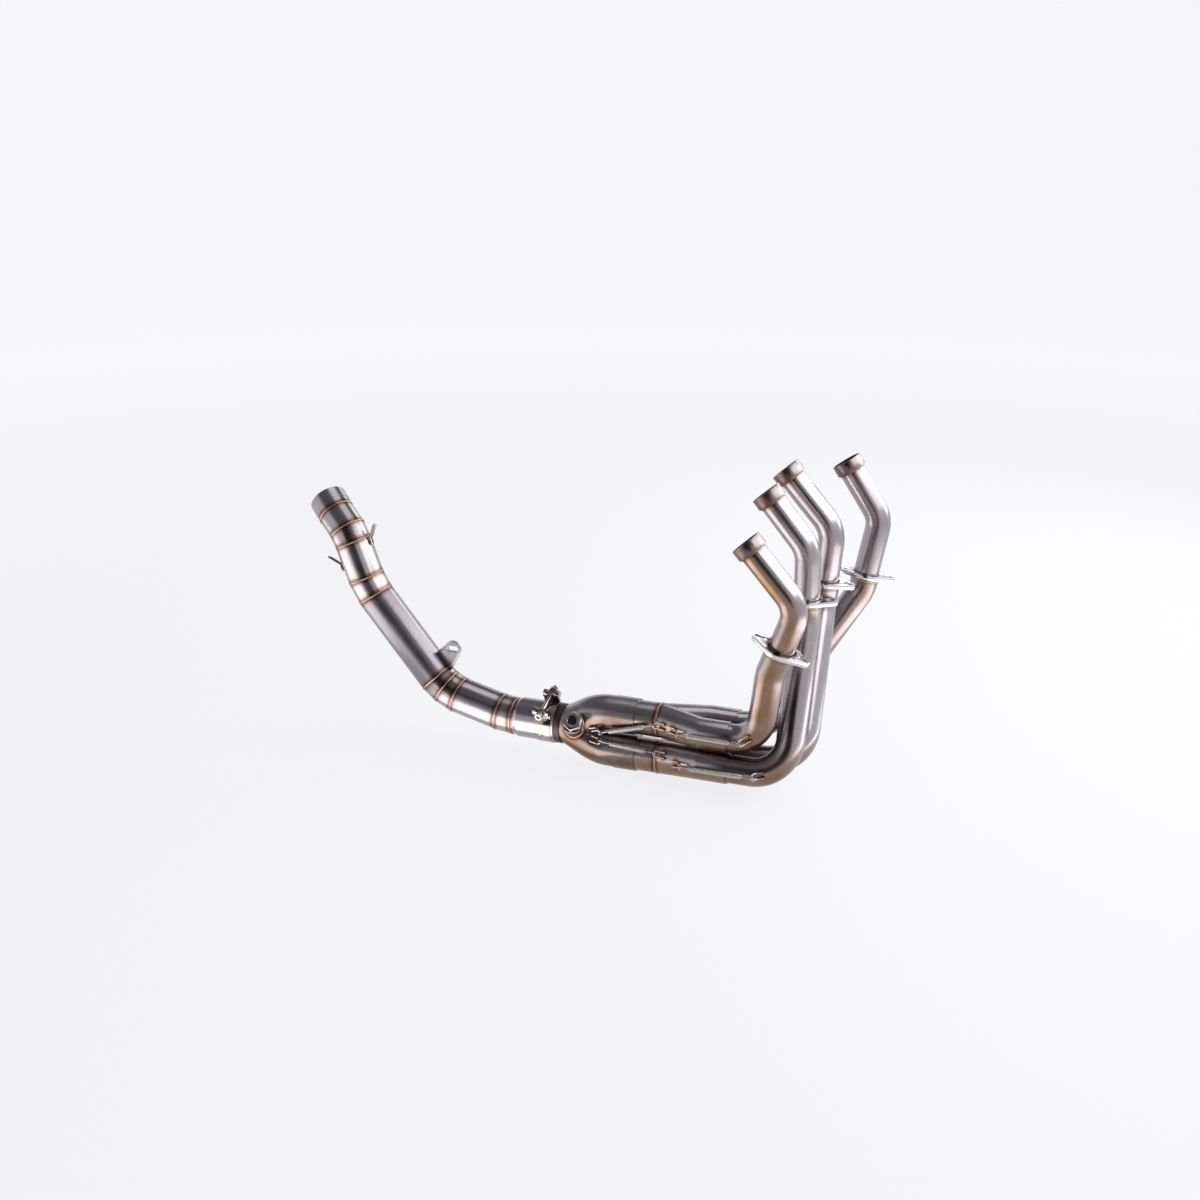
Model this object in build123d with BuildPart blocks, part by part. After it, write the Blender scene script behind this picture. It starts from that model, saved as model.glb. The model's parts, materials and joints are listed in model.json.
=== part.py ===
"""Exhaust header of a four-cylinder motorcycle, with its link pipe.

Four head pipes leave the cylinder head. Pipes 1 and 4 join in the upper collector, pipes 2 and 3 in the
lower one, and the two collectors join in the final merge. A band clamp holds the link pipe, built of
mitred tube pieces, on the merge. Millimetres. +X is forward, +Y is to the rider's left, +Z is up, and the
origin is on the floor under the middle of the whole header.
"""
import os
from math import acos, asin, cos, radians, sin, sqrt, tan

from build123d import *

os.makedirs("parts", exist_ok=True)

# Tubes
WALL = 1.5                 # sheet thickness of every tube
SLIP = 0.25                # radial clearance in a slip joint
LEG_R = 18.5               # lower part of a head pipe
STUB_FIT = 0.15            # radial clearance of the stub in its leg
STUB_R = LEG_R - WALL - STUB_FIT   # upper part, pushed a little way into the leg
SECOND_R = 22.5            # tube between a collector and the final merge
LINK_R = 25.0              # link pipe, and the outlet of the final merge
BRANCH_R = 23.5            # the two bent branches of the final merge
STUB_INSERT = 6.0          # length of a stub inside its leg

# Rings and flanges at the cylinder head
RING_R = 20.0
RING_LENGTH = 15.0
RING_LIP = 4.0             # the stub stops this far inside the ring's mouth
RING_MOUTH_WALL = 1.6
FLANGE_THICK = 6.0
FLANGE_PITCH = 62.0        # between the two stud slots
FLANGE_END_R = 8.5
FLANGE_HUB_R = 25.0
FLANGE_CLEAR = 1.2         # radial gap round the stub, so the flange turns freely
FLANGE_LIFT = 0.5          # gap between the flange and the step that it hangs on
STUD_SLOT = (13.0, 8.5)    # length and width of a stud slot

# Places of the collectors
COLLECTOR_Y = -100.0
TUBE_SPREAD = 43.0         # between the two inlets of one collector
UPPER_Z = 76.0
LOWER_Z = 24.25
LOWER_INLET_Z = 33.0       # the lower collector's inlets stand higher than its outlet
OUTLET_Z = (UPPER_Z + LOWER_Z) / 2
INLET_FACE_X = 230.0       # open end of the collector inlets
INLET_BACK_X = 192.0       # where the inlets start to close in
COLLECTOR_OUT_X = 130.0
MERGE_FACE_X = 101.0       # open end of the final merge's inlets
MERGE_SLEEVE_X = 70.0      # back end of their sleeves
BRANCH_BEND_X = 45.5       # corner of the bend in each branch
BRANCH_BEND_R = 60.0
BRANCH_SLOPE = 29.0        # the branches run together at this slope
RUN_OUT = 1.0              # straight length at each end of that bend
MERGE_NECK_X = -3.0        # where the two branches have become one round outlet
LEG_INSERT = 30.0
SECOND_INSERT = 28.0
NEAR_Y = COLLECTOR_Y - TUBE_SPREAD / 2
FAR_Y = COLLECTOR_Y + TUBE_SPREAD / 2

# Head pipes: exhaust ports stand in a row across the engine
PORT_PITCH = 84.0
PORT_ROW_Y = NEAR_Y + 1.5 * PORT_PITCH
PORT_Y = [PORT_ROW_Y + (n - 1.5) * PORT_PITCH for n in range(4)]

# Link pipe: length, rise above level and turn to the left of each mitred piece
LINK_FACE_X = -12.0
LINK_PIECES = [
    ("link_inlet", 63.8, 0.0, 0.0),
    ("link_gusset_1", 22.3, 7.0, 0.0),
    ("link_lower_run", 64.6, 14.0, 0.0),
    ("link_gusset_2", 20.5, 27.0, 0.0),
    ("link_gusset_3", 18.5, 40.0, 0.0),
    ("link_main_run", 140.5, 50.5, 0.0),
    ("link_gusset_4", 27.0, 60.0, 2.0),
    ("link_upper_run", 50.0, 68.0, 8.0),
    ("link_gusset_5", 20.0, 58.0, 16.0),
    ("link_gusset_6", 29.0, 40.0, 22.0),
    ("link_tail", 26.0, 36.0, 30.0),
]
SLEEVE_R = LINK_R + SLIP + WALL     # the inlet is swelled to go over the merge's outlet
SLEEVE_LENGTH = 54.0
SLEEVE_TAPER = 4.0
SPIGOT_LENGTH = 36.0                # merge outlet inside the link inlet
TAIL_SIZED_R = LINK_R + 0.4         # the tail's end is sized a little larger for the silencer's sleeve
TAIL_SIZED_LENGTH = 16.0

# Clamp
BAND_WIDTH = 22.0
BAND_THICK = 1.2
BAND_X = LINK_FACE_X - 14.0         # middle of the band
CLAMP_TILT = 18.0                   # the bolt lies on top, leaning to the near side
BARREL_R = 4.0
BARREL_SPAN = 38.0
LOOP_WALL = 1.3
LOOP_STAND = 4.0                    # clear height of a loop over the band
LOOP_NECK = (0.93, 0.88)            # place of a loop's neck, as a share of the loop's own place
CLAMP_BOLT_R = 3.0
CLAMP_HEAD = (5.0, 6.0)             # radius and height of the bolt's head
CLAMP_KEY = (2.9, 3.0)              # corner radius and depth of its hexagon socket
CLAMP_NUT = (5.8, 5.0)              # corner radius and height of the nut
HEAD_GAP = 1.0                      # between the bolt's head and the near loop
NUT_GAP = 0.5
BOLT_TAIL = 9.0                     # bolt past the far loop
BOLT_SLOT = 8.0

# Sensor boss and its plug
PLUG_FACE = Vector(24, COLLECTOR_Y - 44, 76)
PLUG_AXIS = Vector(0.2, -0.75, 0.63).normalized()
PLUG_HEX = 22.0
PLUG_HEX_HIGH = 7.0
PLUG_FLANGE_R = 14.5
PLUG_FLANGE_HIGH = 3.5
PLUG_THREAD_R = 8.9
PLUG_THREAD_LENGTH = 10.0
PLUG_RECESS = (6.0, 4.0)            # radius and depth of the recess in the head
WASHER_THICK = 1.5
BOSS_R = 12.0
BOSS_LENGTH = 34.0                  # to inside the merge, where it is trimmed

# Spring hooks, springs and hanger
WIRE_R = 1.5
HOOK_HALF = 3.6                     # half the width of a hook's loop
HOOK_SLOPE = 6.0                    # a hook's wires come down to the tube within this length
HOOK_FEET = 9.0                     # and then run along it
HOOK_SEAT = WIRE_R + 0.3            # height of the wires' middle over the tube, room for the weld
HOOK_STAND = 8.5                    # height of a hook's bar over the tube
MERGE_HOOK_X = 51.0
COLLECTOR_HOOK_X = COLLECTOR_OUT_X + 1
MERGE_HOOK_RISE = (-38.0, 39.0)     # degrees above level of the hooks on the upper and lower branch
COLLECTOR_HOOK_RISE = (8.0, 31.0)   # the same on the upper and lower collector
LEG_HOOK_STAND = 10.5               # the same where a collector tapers under the spring
SILENCER_HOOK = (14.0, 15.0)        # height and slope of the two hooks for the silencer's springs
SPRING_R = 3.75
SPRING_WIRE_R = 0.8
EYE_CLEAR = 0.4                     # between a spring's eye and the bar inside it
EYE_R = WIRE_R + SPRING_WIRE_R + EYE_CLEAR
EYE_SIDES = 8
EYE_STEM = 9.0                      # straight wire between the coils and the eye
TAB_THICK = 3.0
TAB_END_R = 11.0
TAB_END = (-166.5, 135.0)           # middle of the tab's round end, along X and up Z
TAB_FOOT = ((-192.0, 126.0), (-172.0, 100.0))
TAB_SLOT = (15.0, 7.0)

def save(piece, name):
    """Names a finished sub-part and writes its STEP file."""
    piece.label = name
    export_step(piece, f"parts/{name}.step")


def section(at, along):
    """Plane of a tube's cross-section."""
    return Plane(origin=at, z_dir=along)


def tube(points, radii, outer, inner=0.0):
    """A round tube, or a round bar, bent along straight runs and tangent arcs."""
    with BuildPart() as bent:
        with BuildLine() as route:
            FilletPolyline(*points, radius=radii)
        with BuildSketch(section(points[0], points[1] - points[0])):
            Circle(outer)
            if inner:
                Circle(inner, mode=Mode.SUBTRACT)
        sweep(path=route.line)
    return bent.part


def bar(start, end, radius):
    """A round bar between two points."""
    with BuildPart() as straight:
        with BuildSketch(section(start, end - start)):
            Circle(radius)
        extrude(amount=(end - start).length)
    return straight.part


def wire(points, radius):
    """Bent wire, drawn with six flats so that it stays light."""
    with BuildPart() as bent:
        with BuildLine() as route:
            Polyline(*points)
        with BuildSketch(section(points[0], points[1] - points[0])):
            RegularPolygon(radius, 6)
        sweep(path=route.line, transition=Transition.RIGHT)
    return bent.part


def wire_hook(at, out, away, stand, slope):
    """A bent wire loop for a spring: two feet welded along the tube, and a bar that stands off it.

    at is on the tube's surface under the bar. Gives the hook, the middle of its bar and the bar's direction.
    """
    across = out.cross(away).normalized()
    side = across * HOOK_HALF
    bar_at = at + out * stand
    foot = at + out * HOOK_SEAT + away * slope
    end = foot + away * HOOK_FEET
    bent = wire([end + side, foot + side, bar_at + side, bar_at - side, foot - side, end - side], WIRE_R)
    return bent, bar_at, across


def square_to(vector, way):
    """The part of a direction that is square to another one."""
    return (vector - way * vector.dot(way)).normalized()


# Head pipes. Each has the corner points of its centre line, the radii of its bends, the height of the step
# from stub to leg, and the turn of its loose flange.
HEAD_PIPES = [
    ([(242, 0, 335.5), (311, 0, 258), (279, 0, 170)], [(268.5, NEAR_Y, UPPER_Z)], [38, 60, 40], 199, 6),
    ([(243, 0, 377), (301, 0, 308), (302, 0, 218)], [(305, NEAR_Y, LOWER_INLET_Z)], [45, 60, 46], 239, -2),
    ([(246, 0, 388), (313, 0, 313), (304, 0, 212)], [(314, FAR_Y, LOWER_INLET_Z)], [45, 60, 46], 239, 5),
    (
        [(308, 0, 385), (358, 0, 310), (342, -14, 214)],
        [(278, 62.5, 108), (266, FAR_Y, UPPER_Z)],
        [40, 45, 45, 40],
        230,
        -22,
    ),
]

leg_routes = []
for n, (upper, lower, radii, step_z, turn) in enumerate(HEAD_PIPES):
    number = n + 1
    rim, bend, knee = [Vector(x, PORT_Y[n] + y, z) for x, y, z in upper]
    corners = [Vector(*p) for p in lower]
    slip_end = Vector(INLET_FACE_X - LEG_INSERT, corners[-1].Y, corners[-1].Z)
    down = (knee - bend).normalized()
    step = bend + down * ((step_z - bend.Z) / down.Z)
    inward = (bend - rim).normalized()

    with BuildPart() as port_ring:
        with BuildSketch(section(rim, inward)):
            Circle(RING_R)
        extrude(amount=RING_LENGTH)
        with BuildSketch(section(rim, inward)):
            Circle(RING_R - RING_MOUTH_WALL)
        extrude(amount=RING_LIP, mode=Mode.SUBTRACT)
        with BuildSketch(section(rim, inward)):
            Circle(STUB_R)
        extrude(amount=RING_LENGTH, mode=Mode.SUBTRACT)
    save(port_ring.part, f"port_ring_{number}")

    stub = tube([rim + inward * RING_LIP, bend, step + down * STUB_INSERT], radii[:1], STUB_R, STUB_R - WALL)
    save(stub, f"head_stub_{number}")

    leg_routes.append(([step, knee, *corners, slip_end], radii[1:]))
    leg = tube(*leg_routes[n], LEG_R, LEG_R - WALL)
    save(leg, f"head_leg_{number}")

    seat = step - down * FLANGE_LIFT
    fore = Vector(0, 1, 0).cross(down).normalized()
    fore = fore if fore.X > 0 else fore * -1
    with BuildPart() as port_flange:
        with BuildSketch(Plane(origin=seat, x_dir=fore.rotate(Axis(seat, down), turn), z_dir=-down)):
            Circle(FLANGE_HUB_R)
            with GridLocations(FLANGE_PITCH, 0, 2, 1):
                Circle(FLANGE_END_R)
            make_hull()
            Circle(STUB_R + FLANGE_CLEAR, mode=Mode.SUBTRACT)
            with GridLocations(FLANGE_PITCH, 0, 2, 1):
                SlotOverall(*STUD_SLOT, mode=Mode.SUBTRACT)
        extrude(amount=FLANGE_THICK)
    save(port_flange.part, f"port_flange_{number}")
    print(f"port_{number}: rim", rim, "inward", inward, "step", step, "down", down)


COLLECTOR_MIDDLE = Plane((0, COLLECTOR_Y, 0), z_dir=(0, -1, 0))


def collector_half(outlet_z, inlet_z, grow):
    """The near inlet, closing in to the outlet, up to the middle plane. grow is added to every radius."""
    with BuildPart() as body:
        with BuildSketch(section((INLET_FACE_X, NEAR_Y, inlet_z), (-1, 0, 0))):
            Circle(LEG_R + SLIP + grow)
        extrude(amount=INLET_FACE_X - INLET_BACK_X)
        with BuildSketch(section((INLET_BACK_X, NEAR_Y, inlet_z), (-1, 0, 0))):
            Circle(LEG_R + SLIP + grow)
        with BuildSketch(section((COLLECTOR_OUT_X, COLLECTOR_Y, outlet_z), (-1, 0, 0))):
            Circle(SECOND_R - WALL + grow)
        loft(ruled=True)
        split(bisect_by=COLLECTOR_MIDDLE, keep=Keep.TOP)
    return body.part


for name, outlet_z, inlet_z in (("upper", UPPER_Z, UPPER_Z), ("lower", LOWER_Z, LOWER_INLET_Z)):
    with BuildPart() as shell:
        add(collector_half(outlet_z, inlet_z, WALL))
        add(collector_half(outlet_z, inlet_z, 0.0), mode=Mode.SUBTRACT)
        mirror(about=COLLECTOR_MIDDLE)
    save(shell.part, f"{name}_collector")

    outlet = Vector(COLLECTOR_OUT_X, COLLECTOR_Y, outlet_z)
    tip = Vector(MERGE_FACE_X - SECOND_INSERT, COLLECTOR_Y, outlet_z)
    with BuildPart() as second:
        with BuildSketch(section(outlet, tip - outlet)):
            Circle(SECOND_R)
            Circle(SECOND_R - WALL, mode=Mode.SUBTRACT)
        extrude(amount=(tip - outlet).length)
    save(second.part, f"{name}_second_tube")

# Final merge: two bent branches that close in to one outlet, alike above and below its middle plane
MERGE_MIDDLE = Plane((0, COLLECTOR_Y, OUTLET_Z), z_dir=(0, 0, 1))


def merge_half(grow):
    """The upper branch and the upper half of the outlet. grow is added to every radius."""
    face, back, bend = [Vector(x, COLLECTOR_Y, UPPER_Z) for x in (MERGE_FACE_X, MERGE_SLEEVE_X, BRANCH_BEND_X)]
    neck = Vector(MERGE_NECK_X, COLLECTOR_Y, OUTLET_Z)
    way = Vector(-cos(radians(BRANCH_SLOPE)), 0, -sin(radians(BRANCH_SLOPE)))
    bend_end = bend + way * (BRANCH_BEND_R * tan(radians(BRANCH_SLOPE) / 2) + RUN_OUT)
    with BuildPart() as body:
        with BuildSketch(section(face, (-1, 0, 0))):
            Circle(SECOND_R + SLIP + grow)
        extrude(amount=MERGE_FACE_X - MERGE_SLEEVE_X)
        add(tube([back + Vector(RUN_OUT, 0, 0), bend, bend_end], [BRANCH_BEND_R], BRANCH_R - WALL + grow))
        with BuildSketch(section(bend_end, way)):
            Circle(BRANCH_R - WALL + grow)
        with BuildSketch(section(neck, (-1, 0, 0))):
            Circle(LINK_R - WALL + grow)
        loft(ruled=True)
        with BuildSketch(section(neck, (-1, 0, 0))):
            Circle(LINK_R - WALL + grow)
        extrude(amount=MERGE_NECK_X - LINK_FACE_X + SPIGOT_LENGTH)
        split(bisect_by=MERGE_MIDDLE, keep=Keep.TOP)
    return body.part


with BuildPart() as merge_form:
    add(merge_half(WALL))
    mirror(about=MERGE_MIDDLE)

boss_top = PLUG_FACE - PLUG_AXIS * (PLUG_HEX_HIGH + PLUG_FLANGE_HIGH + WASHER_THICK)
boss_bottom = boss_top - PLUG_AXIS * BOSS_LENGTH

with BuildPart() as final_merge:
    add(merge_half(WALL))
    add(merge_half(0.0), mode=Mode.SUBTRACT)
    mirror(about=MERGE_MIDDLE)
    add(bar(boss_bottom, boss_top, PLUG_THREAD_R), mode=Mode.SUBTRACT)
save(final_merge.part, "final_merge")

with BuildPart() as sensor_boss:
    with BuildSketch(section(boss_top, -PLUG_AXIS)):
        Circle(BOSS_R)
        Circle(PLUG_THREAD_R, mode=Mode.SUBTRACT)
    extrude(amount=BOSS_LENGTH)
    add(merge_form.part, mode=Mode.SUBTRACT)
save(sensor_boss.part.solids().sort_by(SortBy.VOLUME)[-1], "sensor_boss")

with BuildPart() as plug_washer:
    with BuildSketch(section(boss_top, PLUG_AXIS)):
        Circle(BOSS_R)
        Circle(PLUG_THREAD_R, mode=Mode.SUBTRACT)
    extrude(amount=WASHER_THICK)
save(plug_washer.part, "plug_washer")

flange_seat = boss_top + PLUG_AXIS * WASHER_THICK
with BuildPart() as sensor_plug:
    with BuildSketch(section(flange_seat, PLUG_AXIS)):
        Circle(PLUG_FLANGE_R)
    extrude(amount=PLUG_FLANGE_HIGH)
    with BuildSketch(section(flange_seat, PLUG_AXIS)):
        RegularPolygon(PLUG_HEX / sqrt(3), 6)
    extrude(amount=PLUG_FLANGE_HIGH + PLUG_HEX_HIGH)
    with BuildSketch(section(PLUG_FACE, -PLUG_AXIS)):
        Circle(PLUG_RECESS[0])
    extrude(amount=PLUG_RECESS[1], mode=Mode.SUBTRACT)
    with BuildSketch(section(flange_seat, -PLUG_AXIS)):
        Circle(PLUG_THREAD_R)
    extrude(amount=WASHER_THICK + PLUG_THREAD_LENGTH)
save(sensor_plug.part, "sensor_plug")

with BuildPart() as joint_gasket:
    with BuildSketch(section((LINK_FACE_X, COLLECTOR_Y, OUTLET_Z), (1, 0, 0))):
        Circle(SLEEVE_R)
        Circle(LINK_R + SLIP, mode=Mode.SUBTRACT)
    extrude(amount=MERGE_NECK_X - LINK_FACE_X)
save(joint_gasket.part, "joint_gasket")

# Link pipe. Its corner points follow from the pieces' lengths and directions.
link_corner = [Vector(LINK_FACE_X, COLLECTOR_Y, OUTLET_Z)]
link_way = []
for _, length, rise, turn in LINK_PIECES:
    rise, turn = radians(rise), radians(turn)
    link_way.append(Vector(-cos(rise) * cos(turn), cos(rise) * sin(turn), sin(rise)))
    link_corner.append(link_corner[-1] + link_way[-1] * length)

link_forms = []
for i, (name, length, _, _) in enumerate(LINK_PIECES):
    start, end, way = link_corner[i], link_corner[i + 1], link_way[i]
    first, last = i == 0, i == len(LINK_PIECES) - 1
    spare_start = 0.0 if first else LINK_R / 2
    spare_end = 0.0 if last else LINK_R / 2
    with BuildPart() as form:
        with BuildSketch(section(start - way * spare_start, way)):
            Circle(LINK_R)
        extrude(amount=length + spare_start + spare_end)
        if first:
            with BuildSketch(section(start, way)):
                Circle(SLEEVE_R)
            extrude(amount=SLEEVE_LENGTH)
            with BuildSketch(section(start + way * SLEEVE_LENGTH, way)):
                Circle(SLEEVE_R)
            with BuildSketch(section(start + way * (SLEEVE_LENGTH + SLEEVE_TAPER), way)):
                Circle(LINK_R)
            loft(ruled=True)
        if last:
            with BuildSketch(section(end, -way)):
                Circle(TAIL_SIZED_R)
            extrude(amount=TAIL_SIZED_LENGTH)
        if not first:
            split(bisect_by=Plane(start, z_dir=link_way[i - 1] + way), keep=Keep.TOP)
        if not last:
            split(bisect_by=Plane(end, z_dir=way + link_way[i + 1]), keep=Keep.BOTTOM)
    link_forms.append(form.part)

    with BuildPart() as link_piece:
        add(form.part)
        with BuildSketch(section(start - way * LINK_R, way)):
            Circle(LINK_R - WALL)
        extrude(amount=length + 2 * LINK_R, mode=Mode.SUBTRACT)
        if first:
            with BuildSketch(section(start, way)):
                Circle(SLEEVE_R - WALL)
            extrude(amount=SLEEVE_LENGTH, mode=Mode.SUBTRACT)
    save(link_piece.part, name)

# Hanger tab on the link pipe's main run
with BuildPart() as hanger_tab:
    with BuildSketch(Plane.XZ.offset(-COLLECTOR_Y - TAB_THICK / 2)):
        with Locations(TAB_END):
            Circle(TAB_END_R)
        with BuildLine():
            Line(*TAB_FOOT)
        make_hull()
        with Locations(TAB_END):
            SlotOverall(*TAB_SLOT, mode=Mode.SUBTRACT)
    extrude(amount=TAB_THICK)
    for form in link_forms[3:6]:
        add(form, mode=Mode.SUBTRACT)
save(hanger_tab.part, "hanger_tab")

# Band clamp
band_inner = SLEEVE_R
band_outer = band_inner + BAND_THICK
loop_r = BARREL_R + LOOP_WALL
barrel_dist = band_outer + LOOP_STAND + loop_r
half_angle = asin(BARREL_SPAN / 2 / barrel_dist)
clamp_up = Vector(0, -sin(radians(CLAMP_TILT)), cos(radians(CLAMP_TILT)))
clamp_along = Vector(0, cos(radians(CLAMP_TILT)), sin(radians(CLAMP_TILT)))
band_front = Vector(BAND_X + BAND_WIDTH / 2, COLLECTOR_Y, OUTLET_Z)
band_plane = Plane(origin=band_front, x_dir=clamp_along, z_dir=(-1, 0, 0))
band_sign = 1 if band_plane.to_local_coords(band_front + clamp_up).Y > 0 else -1
chord = barrel_dist * cos(half_angle)
barrel_at = [(side * BARREL_SPAN / 2, band_sign * chord) for side in (-1, 1)]

with BuildPart() as clamp_band:
    with BuildSketch(band_plane):
        Circle(band_outer)
        with Locations((0, band_sign * band_outer)):
            Rectangle(BARREL_SPAN - 4 * LOOP_WALL, 2 * LOOP_STAND + band_outer, mode=Mode.SUBTRACT)
        with Locations(*barrel_at):
            Circle(loop_r)
        for x, y in barrel_at:
            with Locations((x * LOOP_NECK[0], y * LOOP_NECK[1])):
                Rectangle(2.5 * LOOP_WALL, 2 * loop_r + LOOP_STAND)
        Circle(band_inner, mode=Mode.SUBTRACT)
        with Locations(*barrel_at):
            Circle(BARREL_R, mode=Mode.SUBTRACT)
    extrude(amount=BAND_WIDTH)
    with BuildSketch(band_plane.offset(BAND_WIDTH / 2 - BOLT_SLOT / 2)):
        with Locations((0, band_sign * (chord + loop_r))):
            Rectangle(BARREL_SPAN + 4 * loop_r, 2 * loop_r + 2 * CLAMP_BOLT_R + 2)
    extrude(amount=BOLT_SLOT, mode=Mode.SUBTRACT)
save(clamp_band.part, "clamp_band")

bolt_mid = band_front - Vector(BAND_WIDTH / 2, 0, 0) + clamp_up * chord
bolt_near = bolt_mid - clamp_along * (BARREL_SPAN / 2 + loop_r + HEAD_GAP)
bolt_far = bolt_mid + clamp_along * (BARREL_SPAN / 2 + loop_r + BOLT_TAIL)
for name, place in zip(("clamp_barrel_near", "clamp_barrel_far"), barrel_at):
    with BuildPart() as barrel:
        with BuildSketch(band_plane):
            with Locations(place):
                Circle(BARREL_R)
        extrude(amount=BAND_WIDTH)
        add(bar(bolt_near, bolt_far, CLAMP_BOLT_R), mode=Mode.SUBTRACT)
    save(barrel.part, name)

with BuildPart() as clamp_bolt:
    add(bar(bolt_near, bolt_far, CLAMP_BOLT_R))
    with BuildSketch(section(bolt_near, -clamp_along)):
        Circle(CLAMP_HEAD[0])
    extrude(amount=CLAMP_HEAD[1])
    with BuildSketch(section(bolt_near - clamp_along * CLAMP_HEAD[1], clamp_along)):
        RegularPolygon(CLAMP_KEY[0], 6)
    extrude(amount=CLAMP_KEY[1], mode=Mode.SUBTRACT)
save(clamp_bolt.part, "clamp_bolt")

nut_seat = bolt_mid + clamp_along * (BARREL_SPAN / 2 + loop_r + NUT_GAP)
with BuildPart() as clamp_nut:
    with BuildSketch(section(nut_seat, clamp_along)):
        RegularPolygon(CLAMP_NUT[0], 6)
        Circle(CLAMP_BOLT_R, mode=Mode.SUBTRACT)
    extrude(amount=CLAMP_NUT[1])
save(clamp_nut.part, "clamp_nut")


# Spring hooks. Each seat is a point on a tube, the way out from it and the way along it, away from the spring.
def branch_seat(z, side, rise):
    """On the bend of a final merge branch."""
    sign = -1 if z > OUTLET_Z else 1
    bend_start = BRANCH_BEND_X + BRANCH_BEND_R * tan(radians(BRANCH_SLOPE) / 2)
    angle = asin((bend_start - MERGE_HOOK_X) / BRANCH_BEND_R)
    along = asin((bend_start - MERGE_HOOK_X + HOOK_SLOPE) / BRANCH_BEND_R)
    middle = Vector(MERGE_HOOK_X, COLLECTOR_Y, z + sign * BRANCH_BEND_R * (1 - cos(angle)))
    away = Vector(-cos(along), 0, sign * sin(along))
    out = square_to(Vector(0, side * cos(radians(rise)), sin(radians(rise))), away)
    return middle + out * BRANCH_R, out, away


def collector_seat(x, inlet_z, outlet_z, side, rise):
    """On the taper of a collector; the way along points to the inlets."""
    out = Vector(0, side * cos(radians(rise)), sin(radians(rise)))
    low = Vector(COLLECTOR_OUT_X, COLLECTOR_Y, outlet_z) + out * SECOND_R
    high = Vector(INLET_BACK_X, COLLECTOR_Y + side * TUBE_SPREAD / 2, inlet_z) + out * (LEG_R + SLIP + WALL)
    share = (x - COLLECTOR_OUT_X) / (INLET_BACK_X - COLLECTOR_OUT_X)
    return low + (high - low) * share, out, (high - low).normalized()


def upper_seat(side):
    """On the upper collector, where its outlet begins."""
    return collector_seat(COLLECTOR_HOOK_X, UPPER_Z, UPPER_Z, side, COLLECTOR_HOOK_RISE[0])


def lower_seat(side):
    """On the lower collector, where its outlet begins."""
    return collector_seat(COLLECTOR_HOOK_X, LOWER_INLET_Z, LOWER_Z, side, COLLECTOR_HOOK_RISE[1])


def leg_seat(n, angle, side, rise):
    """On the last bend of a head pipe, at an angle past the bend's start."""
    route, radii = leg_routes[n]
    ahead = (route[-2] - route[-1]).normalized()
    up = (route[-3] - route[-2]).normalized()
    turn = acos(ahead.dot(up))
    bend_start = route[-2] - ahead * (radii[-1] * tan(turn / 2))
    inside = square_to(up, ahead)
    angle = radians(angle)
    middle = bend_start + (ahead * sin(angle) + inside * (1 - cos(angle))) * radii[-1]
    along = angle + HOOK_SLOPE / radii[-1]
    away = ahead * cos(along) + inside * sin(along)
    out = square_to(Vector(0, side * cos(radians(rise)), sin(radians(rise))), away)
    return middle + out * LEG_R, out, away


hooks = {"merge_hooks": [], "upper_collector_hooks": [], "lower_collector_hooks": [], "leg_hooks": []}


def hang(node, seat, stand):
    """Adds a hook to its node and gives the place and direction of its bar."""
    hook, bar_at, across = wire_hook(*seat, stand, HOOK_SLOPE)
    hooks[node].append(hook)
    return bar_at, across


def spring(name, first, second):
    """A close-wound spring between two hook bars: the coils as a plain bar, with an eye at each end."""
    (start, start_across), (end, end_across) = first, second
    way = (end - start).normalized()
    with BuildPart() as coil:
        add(bar(start + way * (EYE_R + EYE_STEM), end - way * (EYE_R + EYE_STEM), SPRING_R))
        for at, ahead, across in ((start, way, start_across), (end, -way, end_across)):
            flat = square_to(ahead, across)
            add(wire([at + flat * EYE_R, at + ahead * (EYE_R + EYE_STEM + SPRING_R)], SPRING_WIRE_R))
            with BuildSketch(Plane(origin=at - across * SPRING_WIRE_R, x_dir=flat, z_dir=across)):
                RegularPolygon(EYE_R + SPRING_WIRE_R, EYE_SIDES)
                RegularPolygon(EYE_R - SPRING_WIRE_R, EYE_SIDES, mode=Mode.SUBTRACT)
            extrude(amount=2 * SPRING_WIRE_R)
    save(coil.part, name)


for side, place in ((-1, "near"), (1, "far")):
    spring(
        f"spring_upper_{place}",
        hang("merge_hooks", branch_seat(UPPER_Z, side, MERGE_HOOK_RISE[0]), HOOK_STAND),
        hang("upper_collector_hooks", upper_seat(side), HOOK_STAND),
    )
    spring(
        f"spring_lower_{place}",
        hang("merge_hooks", branch_seat(LOWER_Z, side, MERGE_HOOK_RISE[1]), HOOK_STAND),
        hang("lower_collector_hooks", lower_seat(side), HOOK_STAND),
    )

# Springs of the head pipes: pipe, side, place and rise of the collector hook, angle and rise of the leg hook
LEG_SPRINGS = [(0, -1, 167, 6, 25, 2), (1, -1, 172, 10, 8, 8), (2, 1, 172, -20, 8, -20), (3, 1, 167, -20, 12, -30)]
for n, side, x, collector_rise, leg_angle, leg_rise in LEG_SPRINGS:
    name, inlet_z, outlet_z = ("upper", UPPER_Z, UPPER_Z) if n in (0, 3) else ("lower", LOWER_INLET_Z, LOWER_Z)
    at, out, towards_inlet = collector_seat(x, inlet_z, outlet_z, side, collector_rise)
    spring(
        f"spring_leg_{n + 1}",
        hang(f"{name}_collector_hooks", (at, out, -towards_inlet), LEG_HOOK_STAND),
        hang("leg_hooks", leg_seat(n, leg_angle, side, leg_rise), HOOK_STAND),
    )

for name, loops in hooks.items():
    save(Compound(children=loops), name)

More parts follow.
